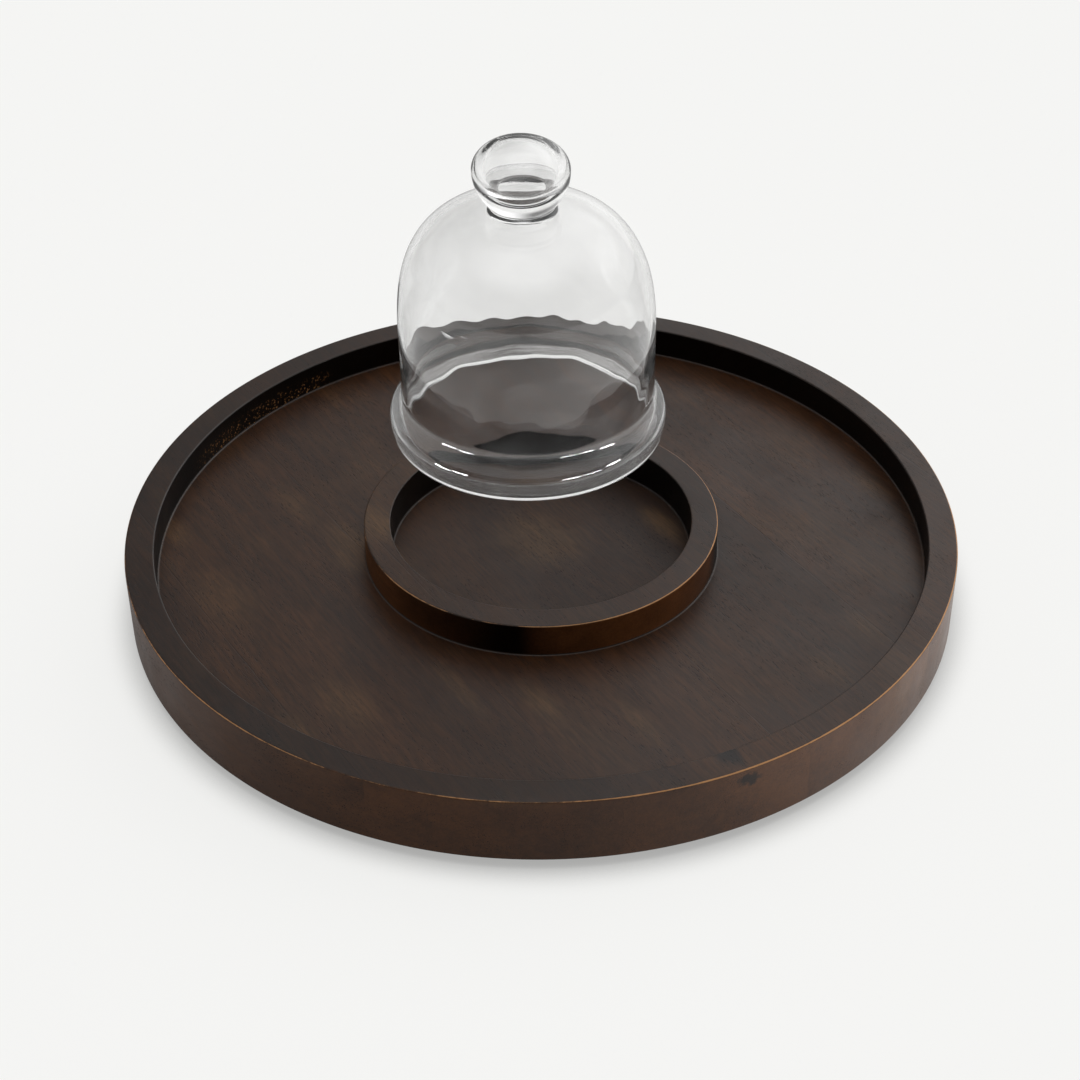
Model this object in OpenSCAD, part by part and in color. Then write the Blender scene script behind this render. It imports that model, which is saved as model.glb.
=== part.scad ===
// Round turning tray with a glass bell that lifts out of its centre recess.
// Millimetres, +Z up, origin on the table at the middle of the feet.

/* [Tray] */
// Radius of the tray
tray_r = 200; // [185:1:230]
// Height of the tray from its underside to the top of its rim
tray_h = 33.6; // [31:0.2:42]
// Gap between the table and the tray's underside
tray_gap = 5; // [4:0.5:8]
// Thickness of the upright rim
rim_t = 13.9; // [8:0.1:20]
// Thickness of wood under the wide channel
floor_t = 18; // [16:0.5:20]
// Thickness of wood under the centre recess
recess_t = 16.4; // [14:0.2:18]
// Outer radius of the raised inner ring
ring_r = 85.7; // [82:0.1:92]
// Thickness of the raised inner ring
ring_t = 12.8; // [9:0.1:16]
// Height of the inner ring's top above the tray's underside
ring_h = 34.7; // [31:0.1:42]
// Size of the eased edges
ease = 0.8; // [0.4:0.1:1.5]
// Size of the small cove at the foot of each wall
cove = 0.8; // [0.4:0.1:1.5]

/* [Glass bell] */
// Radius of the bell's upright wall
bell_r = 58.5; // [50:0.5:60]
// Height of the bell without its knob
bell_h = 113.2; // [105:0.2:130]
// Height at which the wall starts to turn into the crown
shoulder_h = 46; // [36:1:60]
// Roundness of the crown, where 2 is an ellipse and more is squarer
crown_power = 3; // [2.2:0.1:3.6]
// Thickness of the glass wall
glass_t = 2.8; // [2:0.1:4]
// Largest radius of the flared foot band
foot_r = 64.4; // [61:0.1:66]
// Height of the foot band's widest line
foot_wide_h = 9; // [6:0.5:12]
// Height of the foot band
foot_h = 22; // [18:0.5:28]
// Distance of the bell's axis from the tray's axis along X
bell_x = -5.5; // [-7:0.5:7]
// Height of the bell above its seat in the recess
bell_lift = 71.4; // [60:0.2:90]

/* [Knob] */
// Largest radius of the ball knob
knob_r = 21.7; // [18:0.1:24]
// Height of the knob's widest line above the crown
knob_wide_h = 19; // [16:0.5:22]
// Reach of the ellipse that rounds the knob below its widest line
knob_under_h = 22.2; // [21:0.2:30]
// Height of the knob's cap above its widest line
knob_cap_h = 13.6; // [11:0.2:18]
// Height of the neck above the crown
neck_h = 2.6; // [2:0.2:7]

/* [Ring bearing] */
// Radius of the circle that the balls run on
ball_circle_r = 87; // [86:0.5:90]
// Diameter of a ball
ball_d = 5; // [4:0.5:5]
// Number of balls
ball_count = 40; // [24:1:44]
// Width of each bearing ring
race_w = 11.8; // [10:0.2:13]
// Height of each bearing ring
race_h = 8; // [8:0.5:9]

/* [Hidden] */
$fn = 96;

// Tray heights above the table
rim_z = tray_gap + tray_h;
floor_z = tray_gap + floor_t;
recess_z = tray_gap + recess_t;
ring_z = tray_gap + ring_h;
rim_in_r = tray_r - rim_t;
recess_r = ring_r - ring_t;

// Bell
seat_gap = 0.2;
bell_z = recess_z + seat_gap + bell_lift;
lip_r = foot_r - 1.6;
lip_t = 4.6;
crown_h = bell_h + 0.8 - shoulder_h;
crown_steps = 28;
foot_steps = 12;
seat_w = pow(1 - pow((bell_h - shoulder_h) / crown_h, crown_power), 1 / crown_power);
knob_seat_r = bell_r * seat_w;

// Number of screws, of rivets and of feet
fixing_count = 6;

// Bearing heights, with the standing rings low and the turning ring high
foot_pad_h = 2;
race_in_z = foot_pad_h;
race_out_z = race_in_z + 1;
pocket_z = race_out_z + race_h;
ball_z = race_in_z + race_h / 2 + 0.5;
race_gap = 2.4;
race_play = 0.2;
race_out_r = ball_circle_r + race_gap / 2;
race_in_r = ball_circle_r - race_gap / 2;
pocket_r = race_out_r + race_w + 1;
screw_circle_r = race_out_r + 6.8;
rivet_circle_r = race_in_r - race_w + 4.5;
screw_r = 2;
screw_head_r = 4;
screw_head_h = 2;
screw_len = 16;
hole_play = 0.05;
rivet_r = 2;
rivet_head_r = 3.3;
rivet_head_h = 1.2;
rivet_sink = 1.4;
foot_pad_r = 5;
peg_r = 2;
peg_h = 3;
cage_t = 1.2;
cage_h = 7;

// Points of a curve through (radius, height) pairs that a rule gives
function smooth(u) = (1 - cos(180 * u)) / 2;
function foot_outer(h) = h < foot_wide_h
    ? lip_r + (foot_r - lip_r) * sin(90 * h / foot_wide_h)
    : foot_r + (bell_r - foot_r) * smooth((h - foot_wide_h) / (foot_h - foot_wide_h));
function foot_wall(h) = glass_t + (lip_t - glass_t) * (1 - smooth(min(1, h / foot_h)));
function crown_r(r, u) = r * pow(max(0, 1 - pow(u, crown_power)), 1 / crown_power);

function foot_outside() = [for (i = [0:foot_steps]) let (h = foot_h * i / foot_steps) [foot_outer(h), h]];
function foot_inside() = [for (i = [0:foot_steps]) let (h = foot_h * i / foot_steps)
    [foot_outer(h) - foot_wall(h), h]];
function crown_outside() = [for (i = [0:crown_steps])
    let (u = (bell_h - shoulder_h) / crown_h * sin(90 * i / crown_steps))
    [crown_r(bell_r, u), shoulder_h + crown_h * u]];
function crown_inside() = [for (i = [crown_steps:-1:0]) let (u = sin(90 * i / crown_steps))
    [crown_r(bell_r - glass_t, u), shoulder_h + (bell_h - 3.4 - shoulder_h) * u]];
function reversed(list) = [for (i = [len(list) - 1:-1:0]) list[i]];

// A flat ring with its underside at height z
module ring(r_out, r_in, z, h) {
    translate([0, 0, z]) difference() {
        cylinder(r = r_out, h = h);
        translate([0, 0, -1]) cylinder(r = r_in, h = h + 2);
    }
}

// Copies of the children around the Z axis, on a circle
module around(count, r, first = 0) {
    for (i = [0:count - 1]) rotate([0, 0, first + 360 * i / count]) translate([r, 0, 0]) children();
}

// Space of the ball groove, as a full torus
module ball_groove() {
    translate([0, 0, ball_z]) rotate_extrude()
        translate([ball_circle_r, 0]) circle(r = ball_d / 2 + race_play);
}

module tray() {
    color([0.16, 0.11, 0.085]) difference() {
        rotate_extrude() polygon([
            [0, pocket_z], [pocket_r, pocket_z], [pocket_r, tray_gap],
            [tray_r - ease, tray_gap], [tray_r, tray_gap + ease],
            [tray_r, rim_z - ease], [tray_r - ease, rim_z],
            [rim_in_r + ease, rim_z], [rim_in_r, rim_z - ease],
            [rim_in_r, floor_z + cove], [rim_in_r - cove, floor_z],
            [ring_r + cove, floor_z], [ring_r, floor_z + cove],
            [ring_r, ring_z - ease], [ring_r - ease, ring_z],
            [recess_r + ease, ring_z], [recess_r, ring_z - ease],
            [recess_r, recess_z + cove], [recess_r - cove, recess_z],
            [0, recess_z]
        ]);
        around(fixing_count, screw_circle_r) translate([0, 0, pocket_z - 1])
            cylinder(r = screw_r + hole_play, h = race_out_z + screw_len + 2 - pocket_z);
    }
}

module glass_bell() {
    color([0.86, 0.88, 0.89, 0.35]) translate([bell_x, 0, bell_z])
        rotate_extrude() polygon(concat(
            foot_outside(), crown_outside(), [[0, bell_h]],
            crown_inside(), reversed(foot_inside())
        ));
}

// Radius of the knob at a height below its widest line
function knob_under_r(h) = knob_r * sqrt(1 - pow((knob_wide_h - h) / knob_under_h, 2));

// Solid ball on a short neck that widens where it meets the crown
module glass_knob() {
    neck_r = knob_under_r(neck_h);
    neck = [for (i = [0:5]) let (u = i / 6) [neck_r + (knob_seat_r - neck_r) * pow(1 - u, 2), neck_h * u]];
    belly = [for (i = [0:11]) let (h = neck_h + (knob_wide_h - neck_h) * i / 12) [knob_under_r(h), h]];
    cap = [for (i = [0:16]) let (a = 90 * i / 16) [knob_r * cos(a), knob_wide_h + knob_cap_h * sin(a)]];
    color([0.9, 0.92, 0.93, 0.45]) translate([bell_x, 0, bell_z + bell_h])
        rotate_extrude() polygon(concat([[0, 0]], neck, belly, cap));
}

// Ring that turns with the tray, countersunk from below for its screws
module bearing_outer_ring() {
    color("silver") difference() {
        ring(race_out_r + race_w, race_out_r, race_out_z, race_h);
        ball_groove();
        around(fixing_count, screw_circle_r) {
            translate([0, 0, race_out_z - 1]) cylinder(r = screw_r + 0.25, h = race_h + 2);
            translate([0, 0, race_out_z])
                cylinder(r1 = screw_head_r + 0.25, r2 = screw_r + 0.25, h = screw_head_h + 0.2);
        }
    }
}

// Countersunk wood screws with a cross slot
module tray_screws() {
    color("gray") around(fixing_count, screw_circle_r) translate([0, 0, race_out_z + 0.2]) difference() {
        union() {
            cylinder(r1 = screw_head_r, r2 = screw_r, h = screw_head_h);
            translate([0, 0, screw_head_h]) cylinder(r = screw_r, h = screw_len - screw_head_h - 2);
            translate([0, 0, screw_len - 2]) cylinder(r1 = screw_r, r2 = 0.5, h = 2);
        }
        for (a = [0, 90]) rotate([0, 0, a]) cube([4, 0.9, 2.2], center = true);
    }
}

// Holes through the standing rings: rivet shanks with a sunk head at one side
module rivet_holes(sink_z) {
    around(fixing_count, rivet_circle_r) {
        translate([0, 0, race_in_z - 1]) cylinder(r = rivet_r + hole_play, h = race_h + 2);
        translate([0, 0, sink_z]) cylinder(r = rivet_head_r + 0.2, h = rivet_sink + 1);
    }
}

module bearing_inner_ring() {
    color("silver") difference() {
        ring(race_in_r, race_in_r - race_w, race_in_z, ball_z - race_in_z);
        ball_groove();
        rivet_holes(race_in_z - 1);
        around(fixing_count, rivet_circle_r, 180 / fixing_count) translate([0, 0, race_in_z - 1])
            cylinder(r = peg_r + hole_play, h = peg_h + 1.2);
    }
}

module clamp_ring() {
    color("lightgray") difference() {
        ring(race_in_r, race_in_r - race_w, ball_z, race_in_z + race_h - ball_z);
        ball_groove();
        rivet_holes(race_in_z + race_h - rivet_sink);
    }
}

module ring_rivets() {
    low = race_in_z + rivet_sink;
    high = race_in_z + race_h - rivet_sink;
    color("darkgray") around(fixing_count, rivet_circle_r) {
        translate([0, 0, low - rivet_head_h]) cylinder(r = rivet_head_r, h = rivet_head_h);
        translate([0, 0, low]) cylinder(r = rivet_r, h = high - low);
        translate([0, 0, high]) cylinder(r = rivet_head_r, h = rivet_head_h);
    }
}

module ball_cage() {
    color("ivory") difference() {
        ring(ball_circle_r + cage_t / 2, ball_circle_r - cage_t / 2, ball_z - cage_h / 2, cage_h);
        around(ball_count, ball_circle_r) translate([0, 0, ball_z]) rotate([0, 90, 0])
            cylinder(r = ball_d / 2 + race_play, h = 4, center = true);
    }
}

module bearing_balls() {
    color("white") around(ball_count, ball_circle_r) translate([0, 0, ball_z]) sphere(r = ball_d / 2);
}

// Push-in foot: a pad with eased edges and a peg that goes up into the standing ring
module rubber_foot(index) {
    color([0.08, 0.08, 0.08]) rotate([0, 0, (index - 0.5) * 360 / fixing_count])
        translate([rivet_circle_r, 0, 0]) rotate_extrude() polygon([
            [0, 0], [foot_pad_r - 0.6, 0], [foot_pad_r, 0.6], [foot_pad_r, foot_pad_h],
            [peg_r, foot_pad_h], [peg_r, foot_pad_h + peg_h], [0, foot_pad_h + peg_h]
        ]);
}

tray();
glass_bell();
glass_knob();
bearing_outer_ring();
tray_screws();
bearing_inner_ring();
clamp_ring();
ring_rivets();
ball_cage();
bearing_balls();
rubber_foot(1);  // rubber_foot_1
rubber_foot(2);  // rubber_foot_2
rubber_foot(3);  // rubber_foot_3
rubber_foot(4);  // rubber_foot_4
rubber_foot(5);  // rubber_foot_5
rubber_foot(6);  // rubber_foot_6
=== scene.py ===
import math

import bpy
import numpy as np
from mathutils import Matrix, Vector


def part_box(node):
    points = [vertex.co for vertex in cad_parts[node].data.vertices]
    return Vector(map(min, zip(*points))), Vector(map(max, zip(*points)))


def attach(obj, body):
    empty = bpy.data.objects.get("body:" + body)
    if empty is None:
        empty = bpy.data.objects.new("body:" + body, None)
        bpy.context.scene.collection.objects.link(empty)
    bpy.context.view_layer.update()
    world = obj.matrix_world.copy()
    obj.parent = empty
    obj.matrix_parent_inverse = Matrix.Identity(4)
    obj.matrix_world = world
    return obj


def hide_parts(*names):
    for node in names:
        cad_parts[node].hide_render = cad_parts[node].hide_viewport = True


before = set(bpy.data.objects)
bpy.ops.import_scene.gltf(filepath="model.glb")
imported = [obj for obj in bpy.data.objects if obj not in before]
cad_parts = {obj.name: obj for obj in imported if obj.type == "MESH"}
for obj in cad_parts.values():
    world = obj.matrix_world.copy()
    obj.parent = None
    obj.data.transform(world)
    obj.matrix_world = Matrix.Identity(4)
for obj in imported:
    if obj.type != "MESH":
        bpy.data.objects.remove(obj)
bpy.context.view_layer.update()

mm = 0.001
trayLow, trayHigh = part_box("tray")
bellLow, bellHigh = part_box("glass_bell")
knobLow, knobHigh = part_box("glass_knob")


# camera

shot = {
    "distance": 1.0785,     # from the middle of the tray's underside
    "elevation": 37.36,     # degrees above the table
    "roll": -0.51,          # the picture leans by half a degree
    "lens": 72.7,
    "shiftX": -0.0012,
    "shiftY": 0.0306,
}


def placeCamera():
    rise = math.radians(shot["elevation"])
    lens = bpy.data.cameras.new("camera")
    lens.lens = shot["lens"]
    lens.sensor_width = 36
    lens.shift_x = shot["shiftX"]
    lens.shift_y = shot["shiftY"]
    lens.clip_start = 0.05
    camera = bpy.data.objects.new("camera", lens)
    bpy.context.scene.collection.objects.link(camera)
    back = Vector((0, -math.cos(rise), math.sin(rise))) * shot["distance"]
    turn = Matrix.Rotation(math.pi / 2 - rise, 4, "X") @ Matrix.Rotation(math.radians(shot["roll"]), 4, "Z")
    camera.matrix_world = Matrix.Translation(back + Vector((0, 0, trayLow.z))) @ turn
    bpy.context.scene.camera = camera


placeCamera()
print("camera placed")


# node helpers

def addNode(tree, kind, inputs=None, **settings):
    # inputs maps a socket's name or number to a value or to another node's output
    made = tree.nodes.new(kind)
    for name, value in settings.items():
        setattr(made, name, value)
    for name, value in (inputs or {}).items():
        socket = made.inputs[name]
        if isinstance(value, bpy.types.NodeSocket):
            tree.links.new(value, socket)
        else:
            socket.default_value = value
    return made


def mathNode(tree, operation, a, b=0.0, clamp=False):
    return addNode(tree, "ShaderNodeMath", {0: a, 1: b}, operation=operation, use_clamp=clamp).outputs[0]


def plus(tree, a, b):
    return mathNode(tree, "ADD", a, b)


def minus(tree, a, b):
    return mathNode(tree, "SUBTRACT", a, b)


def times(tree, a, b):
    return mathNode(tree, "MULTIPLY", a, b)


def noiseNode(tree, vector, scale, detail=3.0, roughness=0.55, distortion=0.0):
    return addNode(tree, "ShaderNodeTexNoise", {
        "Vector": vector, "Scale": scale, "Detail": detail, "Roughness": roughness, "Distortion": distortion,
    }).outputs["Fac"]


def stretchNode(tree, vector, scale, turn=0.0, shift=(0, 0, 0)):
    return addNode(tree, "ShaderNodeMapping", {
        "Vector": vector, "Location": shift, "Rotation": (0, 0, turn), "Scale": scale,
    }).outputs[0]


def rampNode(tree, value, low, high, lowOut=0.0, highOut=1.0):
    # smooth ramp from lowOut at low to highOut at high
    return addNode(tree, "ShaderNodeMapRange", {
        "Value": value, "From Min": low, "From Max": high, "To Min": lowOut, "To Max": highOut,
    }, interpolation_type="SMOOTHSTEP").outputs[0]


def mixColour(tree, factor, a, b, blend="MIX"):
    made = tree.nodes.new("ShaderNodeMix")
    made.data_type = "RGBA"
    made.blend_type = blend
    for index, value in ((0, factor), (6, a), (7, b)):
        if isinstance(value, bpy.types.NodeSocket):
            tree.links.new(value, made.inputs[index])
        elif index == 0:
            made.inputs[index].default_value = value
        else:
            made.inputs[index].default_value = (*value, 1)
    return made.outputs[2]


def attributeNode(tree, name):
    return addNode(tree, "ShaderNodeAttribute", attribute_name=name).outputs["Fac"]


def vectorNode(tree, operation, a, b=(0, 0, 0)):
    return addNode(tree, "ShaderNodeVectorMath", {0: a, 1: b}, operation=operation)


def dotNode(tree, direction, axis):
    return vectorNode(tree, "DOT_PRODUCT", direction, axis).outputs["Value"]


def lengthNode(tree, vector):
    return vectorNode(tree, "LENGTH", vector).outputs["Value"]


def axesNode(tree, vector):
    return addNode(tree, "ShaderNodeSeparateXYZ", {0: vector}).outputs


def flatNode(tree, vector):
    # the place seen from above, without its height
    parts = axesNode(tree, vector)
    return addNode(tree, "ShaderNodeCombineXYZ", {0: parts[0], 1: parts[1]}).outputs[0]


def greyNode(tree, value):
    return addNode(tree, "ShaderNodeCombineColor", {0: value, 1: value, 2: value}).outputs[0]


def startMaterial(name, **values):
    made = bpy.data.materials.new(name)
    made.use_nodes = True
    tree = made.node_tree
    shader = tree.nodes["Principled BSDF"]
    for key, value in values.items():
        shader.inputs[key].default_value = value
    coords = tree.nodes.new("ShaderNodeTexCoord").outputs["Object"]
    return made, tree, shader, coords


def bumpNode(tree, height, distance, strength=1.0, normal=None):
    inputs = {"Height": height, "Distance": distance, "Strength": strength}
    if normal is not None:
        inputs["Normal"] = normal
    return addNode(tree, "ShaderNodeBump", inputs).outputs[0]


# mesh helpers

def roundedProfile(corners, steps=9, support=0.35 * mm):
    # corners are (radius, height, rounding, wear, tone of the side that follows, which is stain with painted
    # shade and painted light). Each rounded corner is the arc that touches both of its sides, with one extra
    # point a little way along each side so that the flats shade flat
    path = np.array([c[:2] for c in corners])
    points, wear, stain = [path[:1]], [np.zeros(1)], [np.full(1, float(corners[0][4]))]
    for index in range(1, len(corners) - 1):
        at, size = path[index], corners[index][2]
        into = path[index - 1] - at
        out = path[index + 1] - at
        into, out = into / np.linalg.norm(into), out / np.linalg.norm(out)
        half = 0.5 * math.acos(float(np.clip(into @ out, -1, 1)))
        reach = size / math.tan(half)
        centre = at + (into + out) / np.linalg.norm(into + out) * size / math.sin(half)
        first, last = at + into * reach - centre, at + out * reach - centre
        sweep = math.atan2(first[0] * last[1] - first[1] * last[0], first @ last)
        angle = sweep * np.linspace(0, 1, steps)[:, None]
        side = np.array([-first[1], first[0]])
        arc = centre + first * np.cos(angle) + side * np.sin(angle)
        points += [(at + into * (reach + support))[None], arc, (at + out * (reach + support))[None]]
        wear += [np.zeros(1), corners[index][3] * np.sin(np.pi * np.linspace(0, 1, steps)), np.zeros(1)]
        before, after = corners[index - 1][4], corners[index][4]
        stain += [np.full(1, float(before)), np.linspace(before, after, steps), np.full(1, float(after))]
    points.append(path[-1:])
    wear.append(np.zeros(1))
    stain.append(np.full(1, float(corners[-2][4])))
    return np.concatenate(points), np.concatenate(wear), np.concatenate(stain)


def turnedGrid(profile, count):
    # A profile carried round the Z axis: point (u, k) is (r cos u, r sin u, z) of profile point k.
    # The first and last profile points lie on the axis and become single points at the end of the list
    ring = profile[1:-1]
    u = np.linspace(0, 2 * np.pi, count, endpoint=False)
    grid = np.stack([
        np.outer(ring[:, 0], np.cos(u)), np.outer(ring[:, 0], np.sin(u)), np.repeat(ring[:, 1:2], count, 1),
    ], -1)
    ends = np.array([[0, 0, profile[0, 1]], [0, 0, profile[-1, 1]]])
    points = np.concatenate([grid.reshape(-1, 3), ends])
    rows, cols = np.meshgrid(np.arange(len(ring) - 1), np.arange(count), indexing="ij")
    nextCol = (cols + 1) % count
    quads = np.stack([rows * count + cols, rows * count + nextCol,
                      (rows + 1) * count + nextCol, (rows + 1) * count + cols], -1).reshape(-1, 4)
    around = np.arange(count)
    after = (around + 1) % count
    last = (len(ring) - 1) * count
    lowFan = np.stack([np.full(count, len(points) - 2), after, around], -1)
    highFan = np.stack([np.full(count, len(points) - 1), last + around, last + after], -1)
    return points, quads.tolist() + lowFan.tolist() + highFan.tolist()


def spreadRound(values, count):
    # one value for each profile point, laid out like the points of turnedGrid
    return np.concatenate([np.repeat(values[1:-1], count), values[[0, -1]]])


def makePiece(name, points, faces, attributes=None):
    mesh = bpy.data.meshes.new(name)
    mesh.from_pydata(points.tolist(), [], faces)
    mesh.polygons.foreach_set("use_smooth", np.ones(len(mesh.polygons), bool))
    for key, values in (attributes or {}).items():
        mesh.attributes.new(key, "FLOAT", "POINT").data.foreach_set("value", values)
    mesh.update()
    made = bpy.data.objects.new(name, mesh)
    bpy.context.scene.collection.objects.link(made)
    return made


# wooden tray

tray = {
    "radius": trayHigh.x,
    "rimThick": 13.9 * mm,
    "floorThick": 18 * mm,
    "recessThick": 16.4 * mm,
    "rimHeight": 33.6 * mm,
    "ringOuter": 85.7 * mm,
    "ringInner": 72.9 * mm,
    "pocketRadius": 101 * mm,
    "pocketDepth": 6 * mm,
    "edge": 0.9 * mm,       # rounding of the top edges
    "cove": 0.9 * mm,       # small cove at the foot of each wall
    "segments": 288,
    "grainAngle": 58,       # turns the grain onto the pattern's X axis, degrees
    "boardWidth": 86 * mm,
    "boardShift": 76 * mm,  # puts one glue line left of the ring
    "boardRun": 3.7,        # metres of pattern between one board's run of grain and the next
    "grainWander": 7 * mm,  # how far the grain bends sideways
    "darkBrown": (0.024, 0.0086, 0.0028),
    "midBrown": (0.050, 0.0182, 0.0050),
    "warmBrown": (0.108, 0.054, 0.0185),
    "wornBrown": (0.52, 0.255, 0.098),
    "poreBrown": (0.004, 0.002, 0.0015),
    "litBronze": (0.27, 0.10, 0.036),  # lighter bronze of the ring's wall where painted light falls
    "polish": 0.46,                 # specular level of the polished faces
    "wallPolish": 0.12,             # and of the upright inner walls
    # headings from the axis of the painted light on the rim, the side and the ring's wall, of the pale specks
    # and of the worn edge
    "litRim": (0.87, -0.5, 0.0),
    "litSide": (0.80, -0.60, 0.0),
    "litRingRight": (0.58, -0.81, 0.0),
    "litRingLeft": (-0.93, -0.37, 0.0),
    "paleSpecks": (-0.81, 0.59, 0.0),
    "wornLeft": (-0.72, -0.69, 0.0),
    # small dark knots on the rim at the front right, in millimetres: place, length along the grain,
    # width, height
    "knots": ((77, -172, 38, 11, 7, 6), (88, -181, 32, 7, 6, 4)),
    # rubbed patches, in millimetres: place, length along the grain, width, and how much stain is gone
    "rubs": (
        (0, 5, 34, 26, 0.95), (-93, -12, 16, 9, 0.8), (-106, -139, 22, 9, 0.5), (-38, -108, 34, 6, 0.35),
        (61, 16, 24, 9, 1.3), (-79, -4, 24, 12, 1.0), (-60, 70, 26, 22, 0.4), (-150, -40, 30, 20, 0.35),
        (-98, 8, 22, 12, 0.8), (-122, 34, 30, 12, 0.6), (-182, 14, 22, 9, 0.6), (-88, -118, 30, 16, 0.6),
        (0, -120, 26, 9, 0.6), (45, -135, 30, 9, 0.6), (168, 46, 24, 12, 0.7), (150, -68, 26, 14, 0.7),
        (130, -98, 22, 12, 0.6), (20, -140, 50, 20, 0.25),
    ),
}

# tone of each face of the tray, carried round the profile as an attribute: 1 is the plain stain. The inner
# walls and the recess are painted darker as shade, and the outer side is painted lighter as light
stainAndShadeTones = {
    "under": 0.8,
    "foot": 0.9,
    # painted light: the outer side is painted lighter
    "side": 2.3,
    "rim": 0.54,
    # painted shade: the inner walls are painted near black
    "wall": 0.08,
    "floor": 1.0,
    "ring": 0.80,
    # painted shade: the recess is painted darker
    "recess": 0.7,
}


def makeTray():
    # a profile of straight sides and rounded corners, turned round the axis
    low = trayLow.z
    rimIn = tray["radius"] - tray["rimThick"]
    edge, cove, tone = tray["edge"], tray["cove"], stainAndShadeTones
    count = tray["segments"]
    floorZ = low + tray["floorThick"]
    recessZ = low + tray["recessThick"]
    rimZ = low + tray["rimHeight"]
    pocketZ = low + tray["pocketDepth"]
    # radius, height, rounding, wear of the edge, tone of the side that follows
    corners = [
        (0, pocketZ, 0, 0, tone["under"]),
        (tray["pocketRadius"], pocketZ, 0.3 * mm, 0, tone["under"]),
        (tray["pocketRadius"], low, 0.5 * mm, 0, tone["foot"]),
        (tray["radius"], low, 1.2 * mm, 0.35, tone["side"]),
        (tray["radius"], rimZ, edge, 1.0, tone["rim"]),
        (rimIn, rimZ, edge * 0.8, 0.25, tone["wall"]),
        (rimIn, floorZ, cove, 0, tone["floor"]),
        (tray["ringOuter"], floorZ, cove, 0, tone["wall"]),
        (tray["ringOuter"], trayHigh.z, edge * 0.8, 0.88, tone["ring"]),
        (tray["ringInner"], trayHigh.z, edge * 0.6, 0.2, tone["wall"]),
        (tray["ringInner"], recessZ, cove, 0, tone["recess"]),
        (0, recessZ, 0, 0, tone["recess"]),
    ]
    profile, wear, stain = roundedProfile(corners)
    points, faces = turnedGrid(profile, count)
    made = makePiece("turned_tray", points, faces, {
        "edgeWear": spreadRound(wear, count), "stainAndShadeTone": spreadRound(stain, count),
    })
    # upright inner walls carry the second finish
    isWall = np.maximum(stain[1:-2], stain[2:-1]) < 0.1
    finish = np.concatenate([np.repeat(isWall, count), np.zeros(2 * count, bool)])
    made.data.polygons.foreach_set("material_index", finish.astype(np.int32))
    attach(made, "turning_tray")
    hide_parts("tray")
    return made


def spotNode(tree, turned, place, size):
    # distance from a place, in shares of the spot's length along the grain, its width and its height
    middle = Matrix.Rotation(math.radians(tray["grainAngle"]), 3, "Z") @ Vector(place) * mm
    offset = vectorNode(tree, "SUBTRACT", turned, middle).outputs[0]
    shares = vectorNode(tree, "MULTIPLY", offset, [1 / (part * mm) for part in size]).outputs[0]
    return lengthNode(tree, shares)


def grainNoises(tree, coords, turned):
    # boards glued edge to edge, each with its own tone and its own run of grain, and the streaks in
    # them from broad to fine
    flatTop = rampNode(tree, attributeNode(tree, "stainAndShadeTone"), 2.0, 1.2)
    wander = noiseNode(tree, stretchNode(tree, turned, (4, 10, 10)), 1.0, 2.0)
    parts = axesNode(tree, turned)
    across = plus(tree, parts[1], times(tree, wander, tray["grainWander"]))
    place = mathNode(tree, "DIVIDE", plus(tree, parts[1], tray["boardShift"]), tray["boardWidth"])
    boardTone = addNode(tree, "ShaderNodeTexWhiteNoise", {"W": mathNode(tree, "FLOOR", place)},
                        noise_dimensions="1D").outputs["Value"]
    seam = mathNode(tree, "ABSOLUTE", minus(tree, mathNode(tree, "FRACT", place), 0.5))
    along = plus(tree, parts[0], times(tree, boardTone, tray["boardRun"]))
    grain = addNode(tree, "ShaderNodeCombineXYZ", {0: along, 1: across, 2: parts[2]}).outputs[0]
    poreField = noiseNode(tree, stretchNode(tree, grain, (330, 2100, 2100), shift=(7, 3, 1)), 1.0, 1.0, 0.5)
    poreZone = noiseNode(tree, stretchNode(tree, grain, (9, 60, 60), shift=(2, 9, 4)), 1.0, 2.0)
    poreLimit = rampNode(tree, poreZone, 0.35, 0.65, 0.70, 0.60)
    return {
        "board": times(tree, minus(tree, boardTone, 0.5), flatTop),
        "seam": times(tree, rampNode(tree, seam, 0.4955, 0.4995), flatTop),
        "broad": noiseNode(tree, stretchNode(tree, grain, (5, 22, 22)), 1.0, 4.0, 0.5, 0.4),
        "streak": noiseNode(tree, stretchNode(tree, grain, (16, 230, 230)), 1.0, 4.0, 0.6, 0.2),
        "fibre": noiseNode(tree, stretchNode(tree, grain, (90, 850, 850)), 1.0, 3.0, 0.6),
        "pore": rampNode(tree, minus(tree, poreField, poreLimit), 0.0, 0.07),
        "stain": noiseNode(tree, coords, 9.0, 4.0, 0.6),
        "patch": noiseNode(tree, stretchNode(tree, grain, (9, 15, 15), shift=(5, 1, 8)), 1.0, 3.0, 0.55, 0.5),
    }


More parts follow.
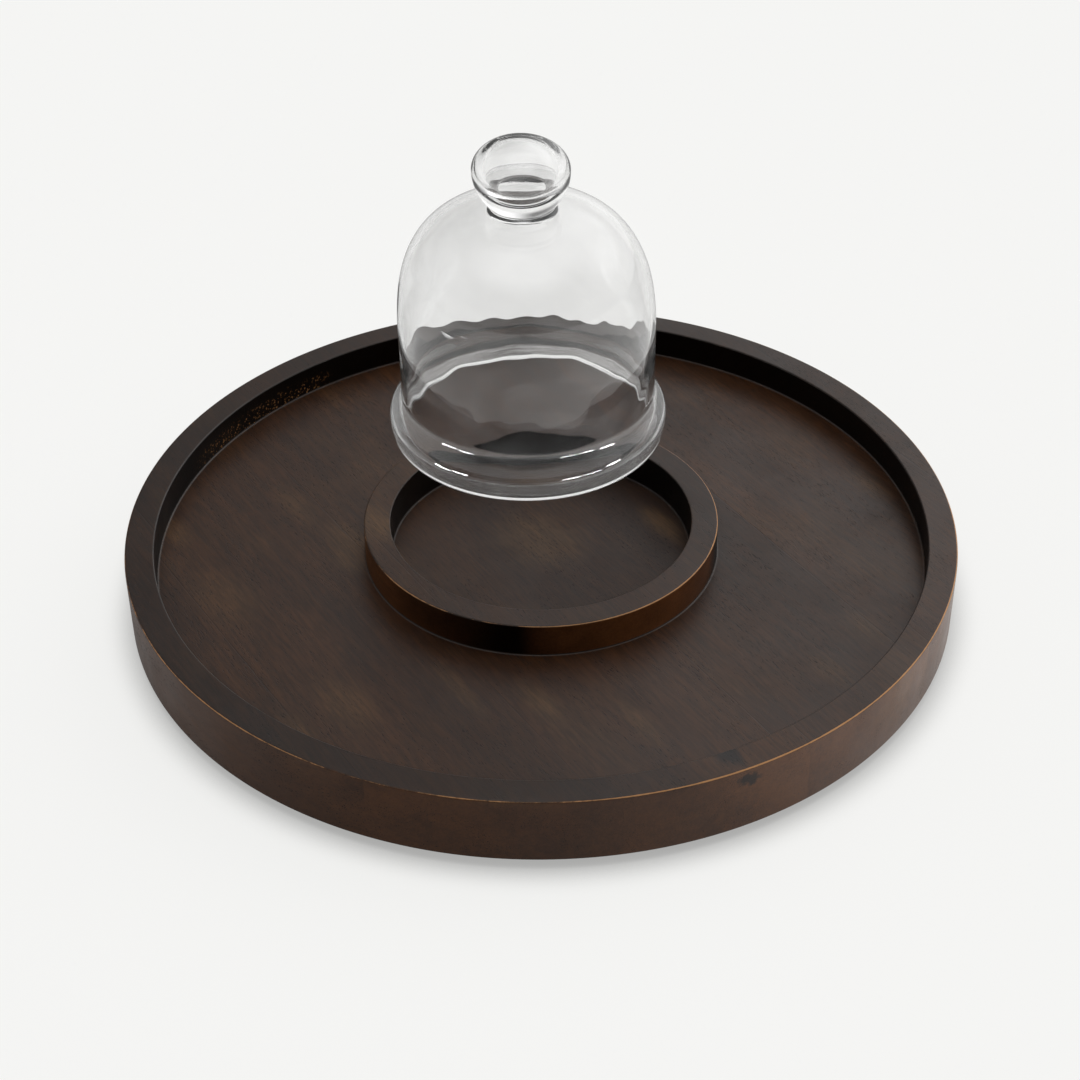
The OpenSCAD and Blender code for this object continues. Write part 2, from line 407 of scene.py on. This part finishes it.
def stainColour(tree, turned, noises):
    # stain over the grain, rubbed thin in patches, with pores, glue lines and knots
    streak, stain = noises["streak"], noises["stain"]
    tone = plus(tree, times(tree, noises["broad"], 0.66), times(tree, streak, 0.34))
    tone = plus(tree, tone, times(tree, noises["board"], 0.12))
    colour = mixColour(tree, rampNode(tree, tone, 0.32, 0.68), tray["darkBrown"], tray["midBrown"])
    rubbedThin = times(tree, rampNode(tree, noises["patch"], 0.52, 0.76), 0.5)
    # each rub reaches through the whole height of the tray
    for x, y, along, wide, share in tray["rubs"]:
        reach = spotNode(tree, turned, (x, y, 22), (along, wide, 400))
        ragged = plus(tree, reach, times(tree, minus(tree, stain, 0.5), 0.9))
        rubbedThin = plus(tree, rubbedThin, rampNode(tree, ragged, 1.0, 0.1, 0.0, share))
    warm = times(tree, rubbedThin, rampNode(tree, streak, 0.2, 0.7, 0.62, 1.0))
    colour = mixColour(tree, mathNode(tree, "MULTIPLY", warm, 0.72, True), colour, tray["warmBrown"])
    colour = mixColour(tree, rampNode(tree, stain, 0.35, 0.7, 0.0, 0.45), colour, tray["darkBrown"])
    fibreShare = rampNode(tree, attributeNode(tree, "stainAndShadeTone"), 1.6, 2.2, 0.32, 0.12)
    fibreSwing = times(tree, rampNode(tree, noises["fibre"], 0.3, 0.7, -1.0, 1.0), fibreShare)
    colour = mixColour(tree, 1.0, colour, greyNode(tree, plus(tree, fibreSwing, 1.0)), "MULTIPLY")
    colour = mixColour(tree, times(tree, noises["pore"], 0.7), colour, tray["poreBrown"])
    colour = mixColour(tree, times(tree, noises["seam"], 0.35), colour, tray["poreBrown"])
    for x, y, z, along, wide, high in tray["knots"]:
        reach = spotNode(tree, turned, (x, y, z), (along, wide, high))
        ragged = plus(tree, reach, times(tree, minus(tree, streak, 0.5), 2.2))
        colour = mixColour(tree, rampNode(tree, ragged, 1.1, 0.5, 0.0, 0.9), colour, tray["poreBrown"])
    return colour


def faceTones(tree, coords, heading, radius, stain, colour):
    # the face tone paints the walls near black and the recess darker as shade, and the side lighter as light.
    # The ring's wall is painted lighter bronze where it faces the right, less on the left, and the right of
    # the rim and the upper right of the side are painted lighter: all painted light from the right
    tone = attributeNode(tree, "stainAndShadeTone")
    height = axesNode(tree, coords)[2]
    wall = rampNode(tree, tone, 0.3, 0.1)
    rim = times(tree, rampNode(tree, tone, 0.42, 0.54), rampNode(tree, tone, 0.66, 0.54))
    # painted light on the right of the rim
    litRim = rampNode(tree, dotNode(tree, heading, tray["litRim"]), 0.55, 0.88, 0.0, 0.50)
    # painted light: the ring's wall lifted to lighter bronze where it faces the right, less on the left
    right = rampNode(tree, dotNode(tree, heading, tray["litRingRight"]), 0.72, 1.0, 0.0, 7.0)
    left = rampNode(tree, dotNode(tree, heading, tray["litRingLeft"]), 0.55, 1.0, 0.0, 1.5)
    nearRing = times(tree, rampNode(tree, radius, 0.12, 0.10), rampNode(tree, radius, 0.078, 0.083))
    litRingWall = times(tree, plus(tree, right, left), rampNode(tree, stain, 0.35, 0.65, 1.0, 0.25))
    litRingWall = times(tree, times(tree, litRingWall, wall), nearRing)
    # painted light on the right of the outer side, stronger towards the top
    side = rampNode(tree, tone, 1.6, 2.2)
    glow = times(tree, rampNode(tree, dotNode(tree, heading, tray["litSide"]), 0.80, 1.0, 0.0, 0.9), side)
    glow = times(tree, glow, rampNode(tree, height, 0.012, 0.036, 0.3, 1.0))
    tint = plus(tree, plus(tree, tone, litRingWall), times(tree, rim, litRim))
    tint = plus(tree, tint, glow)
    colour = mixColour(tree, 1.0, colour, greyNode(tree, tint), "MULTIPLY")
    colour = mixColour(tree, mathNode(tree, "MULTIPLY", litRingWall, 0.16, True), colour, tray["litBronze"])
    # pale specks low on the rim's inner wall at the back left
    specks = rampNode(tree, noiseNode(tree, coords, 650.0, 3.0, 0.7), 0.56, 0.66)
    where = rampNode(tree, dotNode(tree, heading, tray["paleSpecks"]), 0.955, 0.985)
    specks = times(tree, times(tree, specks, where), wall)
    specks = times(tree, specks, rampNode(tree, height, 0.034, 0.029))
    specks = times(tree, specks, rampNode(tree, radius, 0.14, 0.17))
    return mixColour(tree, times(tree, specks, 0.7), colour, tray["wornBrown"])


def wornEdges(tree, coords, heading, radius):
    # edges rubbed through to bare wood in broken stretches, more to the right and on the ring
    edgeWear = attributeNode(tree, "edgeWear")
    rubbed = times(tree, noiseNode(tree, coords, 42.0, 5.0, 0.7), 0.75)
    chips = times(tree, noiseNode(tree, coords, 420.0, 3.0, 0.6), 0.35)
    toRight = rampNode(tree, dotNode(tree, heading, (1.0, 0.0, 0.0)), -0.3, 0.5, -0.10, 0.20)
    toLeft = rampNode(tree, dotNode(tree, heading, tray["wornLeft"]), 0.93, 0.995, 0.0, 0.15)
    onRing = rampNode(tree, radius, 0.12, 0.10, 0.0, 0.12)
    reach = plus(tree, plus(tree, rubbed, chips), toRight)
    reach = plus(tree, reach, plus(tree, toLeft, onRing))
    worn = rampNode(tree, plus(tree, reach, edgeWear), 1.40, 1.56)
    return times(tree, worn, rampNode(tree, edgeWear, 0.2, 0.6))


def stainedWood(name, polish):
    made, tree, shader, coords = startMaterial(name, **{"IOR": 1.48, "Specular IOR Level": polish})
    turned = stretchNode(tree, coords, (1, 1, 1), math.radians(tray["grainAngle"]))
    noises = grainNoises(tree, coords, turned)
    # direction and distance from the tray's axis
    flat = flatNode(tree, coords)
    heading = vectorNode(tree, "NORMALIZE", flat).outputs[0]
    radius = lengthNode(tree, flat)
    colour = faceTones(tree, coords, heading, radius, noises["stain"], stainColour(tree, turned, noises))
    worn = wornEdges(tree, coords, heading, radius)
    colour = mixColour(tree, times(tree, worn, 0.95), colour, tray["wornBrown"])
    tree.links.new(colour, shader.inputs["Base Color"])

    # satin lacquer, duller in pores, on worn edges and in the recess
    rough = rampNode(tree, noiseNode(tree, coords, 30.0, 4.0, 0.6), 0.3, 0.7, 0.33, 0.43)
    rough = plus(tree, rough, times(tree, noises["pore"], 0.2))
    rough = plus(tree, rough, times(tree, noises["fibre"], 0.06))
    rough = plus(tree, rough, rampNode(tree, radius, 0.076, 0.070, 0.0, 0.12))
    rough = mathNode(tree, "ADD", rough, times(tree, worn, 0.2), True)
    tree.links.new(rough, shader.inputs["Roughness"])
    height = minus(tree, times(tree, noises["fibre"], 0.35), noises["pore"])
    height = minus(tree, height, times(tree, noises["seam"], 0.8))
    fine = bumpNode(tree, height, 0.06 * mm, 0.6)
    tree.links.new(bumpNode(tree, noises["streak"], 0.25 * mm, 0.25, fine), shader.inputs["Normal"])
    return made


trayPiece = makeTray()
trayPiece.data.materials.append(stainedWood("espresso_stained_wood", tray["polish"]))
trayPiece.data.materials.append(stainedWood("espresso_unpolished_wall", tray["wallPolish"]))
print("tray turned")


# glass bell with its knob

glass = {
    "wallRadius": 58.5 * mm,
    "shoulder": 46 * mm,     # height where the wall turns into the crown
    "crownPower": 3.0,
    "crownOver": 0.8 * mm,   # the outer crown aims this far above the bell's top, inside the neck
    "crownUnder": 3.4 * mm,  # the inner crown ends this far below it
    "wall": 2.8 * mm,
    "lipWall": 4.6 * mm,
    "lipRound": 2.0 * mm,
    "footRadius": 64.4 * mm,
    "footWide": 9 * mm,      # height of the foot band's widest line
    "footHeight": 22 * mm,
    "lipRadius": 62.8 * mm,
    "knobRadius": 21.7 * mm,
    "knobWide": 19 * mm,     # height of the knob's widest line above the crown
    "knobUnder": 22.2 * mm,  # reach of the ellipse that rounds the knob below that line
    "neckHeight": 2.6 * mm,
    "seatRadius": 16.6 * mm,  # where the crown starts to rise into the knob's neck
    "segments": 192,
    "lean": -2.2 * mm,       # the knob was set a little off the axis
    "wobble": 0.35 * mm,
    "ripple": 0.05 * mm,     # how much the inside of the wall ripples
    # size, waves round the axis, rise and start of each ripple
    "ripples": (
        (0.9, 7, 19, 0.3), (0.7, -11, 23, 1.9), (0.6, 4, 41, 4.0), (0.5, 17, 11, 2.2), (0.4, -23, 37, 5.1),
    ),
    "bubbleRadius": 16.9 * mm,
    "bubbleHalf": 11.2 * mm,
    "bubbleHeight": 18.8 * mm,  # middle of the bubble above the crown
    "dustTop": 34 * mm,      # dust starts to settle below this height
    "dustFull": 18 * mm,
}


def bellProfile():
    # outer wall: r(h) is a quarter sine up to the foot's widest line, a smooth step back to the wall,
    # straight, then a superellipse crown. The inner wall is the outer wall less the thickness. A quarter
    # ellipse leads from the crown into the neck, and the knob is part of one ellipse below its widest
    # line and a quarter of another above it
    g = glass
    height = bellHigh.z - bellLow.z
    crown = height + g["crownOver"] - g["shoulder"]
    capHeight = knobHigh.z - knobLow.z - g["knobWide"]

    def smooth(v):
        return (1 - np.cos(np.pi * np.clip(v, 0, 1))) / 2

    def outer(h):
        rise = np.sin(np.pi / 2 * np.clip(h / g["footWide"], 0, 1))
        step = smooth((h - g["footWide"]) / (g["footHeight"] - g["footWide"]))
        return np.where(h < g["footWide"],
                        g["lipRadius"] + (g["footRadius"] - g["lipRadius"]) * rise,
                        g["footRadius"] + (g["wallRadius"] - g["footRadius"]) * step)

    def wall(h):
        return g["wall"] + (g["lipWall"] - g["wall"]) * (1 - smooth(h / g["footHeight"]))

    def crownRadius(radius, v):
        return radius * np.clip(1 - v ** g["crownPower"], 0, None) ** (1 / g["crownPower"])

    lipRound = g["lipRound"]
    footSteps = np.linspace(lipRound, g["shoulder"], 44)
    turn = np.linspace(0, np.pi / 2, 46)[1:]
    insideCrown = height - g["crownUnder"] - g["shoulder"]
    inside = np.concatenate([
        np.stack([crownRadius(g["wallRadius"] - g["wall"], np.sin(turn[::-1])),
                  g["shoulder"] + insideCrown * np.sin(turn[::-1])], -1),
        np.stack([outer(footSteps[::-1]) - wall(footSteps[::-1]), footSteps[::-1]], -1),
    ])
    inside[0, 0] = 0
    innerLip, outerLip = inside[-1, 0], outer(footSteps[:1])[0]
    middle, half = (innerLip + outerLip) / 2, (outerLip - innerLip) / 2
    bend = np.linspace(np.pi, 2 * np.pi, 15)[1:-1]
    lip = np.stack([middle + half * np.cos(bend), lipRound + lipRound * np.sin(bend)], -1)
    seatShare = (1 - (g["seatRadius"] / g["wallRadius"]) ** g["crownPower"]) ** (1 / g["crownPower"])
    seatHeight = g["shoulder"] + crown * seatShare
    crownTurn = np.linspace(0, math.asin(seatShare), 40)[1:]
    outside = np.concatenate([
        np.stack([outer(footSteps), footSteps], -1),
        np.stack([crownRadius(g["wallRadius"], np.sin(crownTurn)),
                  g["shoulder"] + crown * np.sin(crownTurn)], -1),
    ])

    def under(h):
        return g["knobRadius"] * np.sqrt(1 - ((g["knobWide"] - h) / g["knobUnder"]) ** 2)

    neck = under(g["neckHeight"])
    up = np.linspace(0, np.pi / 2, 14)[1:-1]
    neckPart = np.stack([neck + (g["seatRadius"] - neck) * (1 - np.sin(up)),
                         seatHeight + (height + g["neckHeight"] - seatHeight) * (1 - np.cos(up))], -1)
    belly = np.linspace(g["neckHeight"], g["knobWide"], 20)[:-1]
    bellyPart = np.stack([under(belly), height + belly], -1)
    dome = np.linspace(0, np.pi / 2, 26)
    cap = np.stack([g["knobRadius"] * np.cos(dome), height + g["knobWide"] + capHeight * np.sin(dome)], -1)
    cap[-1, 0] = 0
    whole = np.concatenate([inside, lip, outside, neckPart, bellyPart, cap])
    insideShare = np.zeros(len(whole))
    insideShare[:len(inside)] = np.clip((len(inside) - 1 - np.arange(len(inside))) / 6, 0, 1)
    return whole, insideShare


def bubbleProfile():
    # the air bubble blown into the knob, an upright ellipse from its top down to its bottom
    turn = np.linspace(0, np.pi, 40)
    base = bellHigh.z - bellLow.z + glass["bubbleHeight"]
    profile = np.stack([glass["bubbleRadius"] * np.sin(turn), base + glass["bubbleHalf"] * np.cos(turn)], -1)
    profile[[0, -1], 0] = 0
    return profile


def blownShape(points, insideShare):
    # hand-blown: the wall swells by a slow wave round the axis, its inside ripples so that the wall's
    # thickness changes from place to place, and the knob leans a little
    top = knobHigh.z - bellLow.z
    h = points[:, 2] / top
    u = np.arctan2(points[:, 1], points[:, 0])
    radius = np.hypot(points[:, 0], points[:, 1])
    swell = glass["wobble"] * (np.sin(2 * u + 0.6 + 2 * h) + 0.6 * np.sin(3 * u + 5 * h)) * np.sin(np.pi * h)
    ripple = sum(size * np.sin(turns * u + rise * h + start) for size, turns, rise, start in glass["ripples"])
    ripple = ripple * glass["ripple"] * insideShare * np.clip(radius / glass["wallRadius"], 0, 1)
    grow = 1 + (swell + ripple) / glass["wallRadius"] * np.clip(radius / glass["wallRadius"], 0, 1)
    moved = points.copy()
    moved[:, :2] *= grow[:, None]
    moved[:, 0] += glass["lean"] * np.clip(h, 0, 1) ** 2.2 + (bellLow.x + bellHigh.x) / 2
    moved[:, 1] += (bellLow.y + bellHigh.y) / 2
    moved[:, 2] += bellLow.z
    return moved


def makeBell():
    profile, insideShare = bellProfile()
    count = glass["segments"]
    points, faces = turnedGrid(profile, count)
    share = spreadRound(insideShare, count)
    bubble, bubbleFaces = turnedGrid(bubbleProfile(), 96)
    faces += [tuple(i + len(points) for i in face) for face in bubbleFaces]
    share = np.concatenate([share, np.zeros(len(bubble))])
    points = blownShape(np.concatenate([points, bubble]), share)
    made = makePiece("blown_bell", points, faces, {"insideWall": share})
    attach(made, "bell")
    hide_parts("glass_bell", "glass_knob")
    return made


def clearGlass():
    made, tree, shader, coords = startMaterial("hand_blown_glass", **{
        "Base Color": (0.965, 0.965, 0.965, 1), "IOR": 1.5,
    })
    smear = noiseNode(tree, coords, 22.0, 4.0, 0.6, 0.4)
    tree.links.new(rampNode(tree, smear, 0.5, 0.8, 0.0, 0.004), shader.inputs["Roughness"])
    # a faint film of dust veils the glass unevenly and settles near the foot
    film = noiseNode(tree, stretchNode(tree, coords, (1, 1, 1.4), shift=(3, 1, 2)), 24.0, 2.5, 0.55, 1.2)
    clear = rampNode(tree, film, 0.40, 0.74, 0.993, 0.960)
    height = axesNode(tree, coords)[2]
    settled = rampNode(tree, height, bellLow.z + glass["dustTop"], bellLow.z + glass["dustFull"], 0.0, 0.012)
    tree.links.new(minus(tree, clear, settled), shader.inputs["Transmission Weight"])
    # the two sides of the wall are uneven in different ways
    inner = attributeNode(tree, "insideWall")
    apart = addNode(tree, "ShaderNodeCombineXYZ", {0: inner, 1: inner, 2: inner}).outputs[0]
    uneven = vectorNode(tree, "ADD", coords, apart).outputs[0]
    slow = noiseNode(tree, stretchNode(tree, uneven, (1, 1, 0.6)), 60.0, 0.0, 0.5, 0.5)
    tree.links.new(bumpNode(tree, slow, 0.30 * mm, 0.5), shader.inputs["Normal"])
    # lamps shine through the thin wall
    through = addNode(tree, "ShaderNodeBsdfTransparent", {"Color": (0.93, 0.94, 0.94, 1)})
    path = addNode(tree, "ShaderNodeLightPath")
    output = tree.nodes["Material Output"]
    mix = addNode(tree, "ShaderNodeMixShader", {
        0: path.outputs["Is Shadow Ray"], 1: shader.outputs[0], 2: through.outputs[0],
    })
    tree.links.new(mix.outputs[0], output.inputs["Surface"])
    return made


bellPiece = makeBell()
bellPiece.data.materials.append(clearGlass())
print("bell blown")


# bearing, screws and feet under the tray

metal = {
    "aluminium": (0.62, 0.63, 0.64),
    "steel": (0.52, 0.52, 0.53),
    "rivet": (0.45, 0.45, 0.46),
    "nylon": (0.62, 0.59, 0.50),
    "rubber": (0.018, 0.018, 0.019),
}


def turnedMetal(name, colour, rough, lines):
    # fine concentric turning lines, with dull spots
    made, tree, shader, coords = startMaterial(name, Metallic=1.0)
    radius = lengthNode(tree, flatNode(tree, coords))
    across = addNode(tree, "ShaderNodeCombineXYZ", {0: radius, 2: axesNode(tree, coords)[2]}).outputs[0]
    ripple = noiseNode(tree, across, lines, 2.0)
    blot = noiseNode(tree, coords, 60.0, 4.0, 0.65)
    dark = tuple(0.6 * c for c in colour)
    tinted = mixColour(tree, rampNode(tree, blot, 0.4, 0.75), colour, dark)
    tree.links.new(tinted, shader.inputs["Base Color"])
    dull = plus(tree, blot, times(tree, ripple, 0.4))
    tree.links.new(rampNode(tree, dull, 0.4, 1.0, rough, rough + 0.2), shader.inputs["Roughness"])
    tree.links.new(bumpNode(tree, ripple, 0.03 * mm, 0.6), shader.inputs["Normal"])
    return made


def mouldedPlastic(name, colour, rough, grainScale, depth):
    # fine moulded texture with dust in its hollows
    made, tree, shader, coords = startMaterial(name, IOR=1.5)
    fine = noiseNode(tree, coords, grainScale, 3.0, 0.6)
    dust = noiseNode(tree, coords, 55.0, 4.0, 0.6)
    pale = tuple(min(1.0, c * 1.5 + 0.012) for c in colour)
    tinted = mixColour(tree, rampNode(tree, dust, 0.45, 0.8, 0.0, 0.6), colour, pale)
    tree.links.new(tinted, shader.inputs["Base Color"])
    tree.links.new(rampNode(tree, fine, 0.3, 0.7, rough, rough + 0.15), shader.inputs["Roughness"])
    tree.links.new(bumpNode(tree, fine, depth, 0.5), shader.inputs["Normal"])
    return made


def finishBearing():
    ringFinish = turnedMetal("turned_aluminium", metal["aluminium"], 0.28, 2600.0)
    screwFinish = turnedMetal("plated_steel", metal["steel"], 0.22, 900.0)
    rivetFinish = turnedMetal("rivet_steel", metal["rivet"], 0.3, 900.0)
    cageFinish = mouldedPlastic("natural_nylon", metal["nylon"], 0.4, 700.0, 0.05 * mm)
    footFinish = mouldedPlastic("moulded_rubber", metal["rubber"], 0.6, 1400.0, 0.08 * mm)
    finishes = {
        "bearing_outer_ring": ringFinish, "bearing_inner_ring": ringFinish, "clamp_ring": ringFinish,
        "tray_screws": screwFinish, "bearing_balls": screwFinish, "ring_rivets": rivetFinish,
        "ball_cage": cageFinish,
    }
    for name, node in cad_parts.items():
        finish = footFinish if name.startswith("rubber_foot") else finishes.get(name)
        if finish is None:
            continue
        node.data.materials.clear()
        node.data.materials.append(finish)


finishBearing()
print("bearing finished")


# table, backdrop and light

studio = {
    "tableTone": (1.0, 1.0, 0.985),
    "tableShare": 0.16,       # share of the table's tone that takes wide shadows
    "shadowReach": 18 * mm,   # width of the contact shadow
    "shadowTone": 0.50,
    "tableGlow": 0.793,       # brings the table to the backdrop's tone
    "tableReach": 7.0,
    "tableAside": (0.25, 0.25, 0.25),  # tone of the table beside the camera's view
    "backdrop": (0.913, 0.913, 0.897),
    "base": 0.02,             # light from everywhere
    # centre direction, where the soft lobe ends and where it is full (cosines), strength
    "lobes": (
        ((0.00, -0.12, 1.00), 0.70, 1.0, 1.35),
        ((0.62, 0.66, 0.42), 0.60, 1.0, 1.30),
        ((0.00, 0.85, 0.52), 0.50, 1.0, 0.20),
        ((0.97, 0.10, 0.20), 0.60, 0.98, 0.6),
        ((-0.97, 0.10, 0.22), 0.60, 0.98, 0.5),
    ),
    # small bright cards that only light the glass, each hung where the foot of the bell mirrors it to the
    # camera: heading on the foot and upward tilt of the glass there in degrees, width, height, brightness
    "cards": (
        (-37, 19, 0.070, 0.030, 4.0), (-28, 20, 0.070, 0.024, 4.0), (18, 20, 0.070, 0.015, 4.0),
        (27, 21, 0.070, 0.015, 4.0), (37, 26, 0.060, 0.026, 3.0),
    ),
    "cardPlace": 15 * mm,     # height on the foot where the cards are mirrored
    "cardAway": 0.25,
    "cardSpread": 25,
}


def seenDirectly(tree):
    # 1 where the camera looks straight, and 1 where it looks through glass
    path = addNode(tree, "ShaderNodeLightPath").outputs
    return path["Is Camera Ray"], path["Is Transmission Ray"]


def makeTable():
    reach = studio["tableReach"]
    mesh = bpy.data.meshes.new("table_top")
    mesh.from_pydata([(-reach, -reach, 0), (reach, -reach, 0), (reach, reach, 0), (-reach, reach, 0)],
                     [], [(0, 1, 2, 3)])
    table = bpy.data.objects.new("table_top", mesh)
    bpy.context.scene.collection.objects.link(table)
    finish, tree, shader, coords = startMaterial("pale_table", Roughness=0.9)
    shader.inputs["Specular IOR Level"].default_value = 0.0
    camera, through = seenDirectly(tree)
    seen = mathNode(tree, "MAXIMUM", camera, through)
    # beside the camera's view the table is a dim card, brighter to the right
    parts = axesNode(tree, coords)
    right = rampNode(tree, parts[0], -0.1, 0.40, 0.14, 1.05)
    left = rampNode(tree, parts[0], -0.10, -0.4, 0.0, 0.42)
    behind = rampNode(tree, parts[1], 0.12, 0.30, 1.0, 0.4)
    dim = times(tree, plus(tree, right, left), behind)
    share = studio["tableShare"]
    tree.links.new(mixColour(tree, seen, studio["tableAside"], tuple(share * c for c in studio["tableTone"])),
                   shader.inputs["Base Color"])
    shader.inputs["Emission Color"].default_value = (*studio["tableTone"], 1)
    # soft dark rim of shadow close under the tray
    close = addNode(tree, "ShaderNodeAmbientOcclusion", {"Distance": studio["shadowReach"]}, samples=16)
    shade = rampNode(tree, close.outputs["AO"], 0.35, 1.0, studio["shadowTone"], 1.0)
    lit = times(tree, shade, studio["tableGlow"])
    glow = addNode(tree, "ShaderNodeMix", {0: seen, 2: dim, 3: lit}).outputs[0]
    tree.links.new(glow, shader.inputs["Emission Strength"])
    mesh.materials.append(finish)


def makeCards():
    # the mirrored direction is twice the glass's normal times its share of the view, less the view
    lit = bpy.data.collections.new("lit_by_cards")
    lit.objects.link(bellPiece)
    eye = bpy.context.scene.camera.matrix_world.translation
    middle = (bellLow + bellHigh) / 2
    for index, (heading, tilt, width, height, brightness) in enumerate(studio["cards"]):
        turn, rise = math.radians(heading), math.radians(tilt)
        out = Vector((math.sin(turn) * math.cos(rise), -math.cos(turn) * math.cos(rise), math.sin(rise)))
        place = Vector((middle.x + glass["footRadius"] * math.sin(turn),
                        middle.y - glass["footRadius"] * math.cos(turn), bellLow.z + studio["cardPlace"]))
        view = (eye - place).normalized()
        towards = 2 * out.dot(view) * out - view
        data = bpy.data.lights.new("card_%d" % index, "AREA")
        data.shape = "RECTANGLE"
        data.size = width
        data.size_y = height
        data.energy = brightness * width * height
        data.spread = math.radians(studio["cardSpread"])
        card = bpy.data.objects.new("card_%d" % index, data)
        bpy.context.scene.collection.objects.link(card)
        card.location = place + towards * studio["cardAway"]
        card.rotation_euler = towards.to_track_quat("Z", "Y").to_euler()
        card.light_linking.receiver_collection = lit
        card.visible_camera = False
        card.visible_diffuse = False
        card.visible_transmission = False


def makeSky():
    world = bpy.data.worlds.new("studio")
    bpy.context.scene.world = world
    world.use_nodes = True
    tree = world.node_tree
    shader = tree.nodes["Background"]
    direction = addNode(tree, "ShaderNodeTexCoord").outputs["Generated"]
    light = studio["base"]
    for centre, edge, full, strength in studio["lobes"]:
        along = dotNode(tree, direction, Vector(centre).normalized())
        light = plus(tree, light, rampNode(tree, along, edge, full, 0.0, strength))
    camera, through = seenDirectly(tree)
    horizon = times(tree, through, rampNode(tree, axesNode(tree, direction)[2], 0.42, 0.27))
    seen = mathNode(tree, "MAXIMUM", camera, horizon)
    tree.links.new(mixColour(tree, seen, greyNode(tree, light), studio["backdrop"]), shader.inputs["Color"])


makeTable()
makeSky()
makeCards()
scene = bpy.context.scene
scene.view_settings.view_transform = "Standard"
scene.view_settings.look = "None"
print("studio lit")
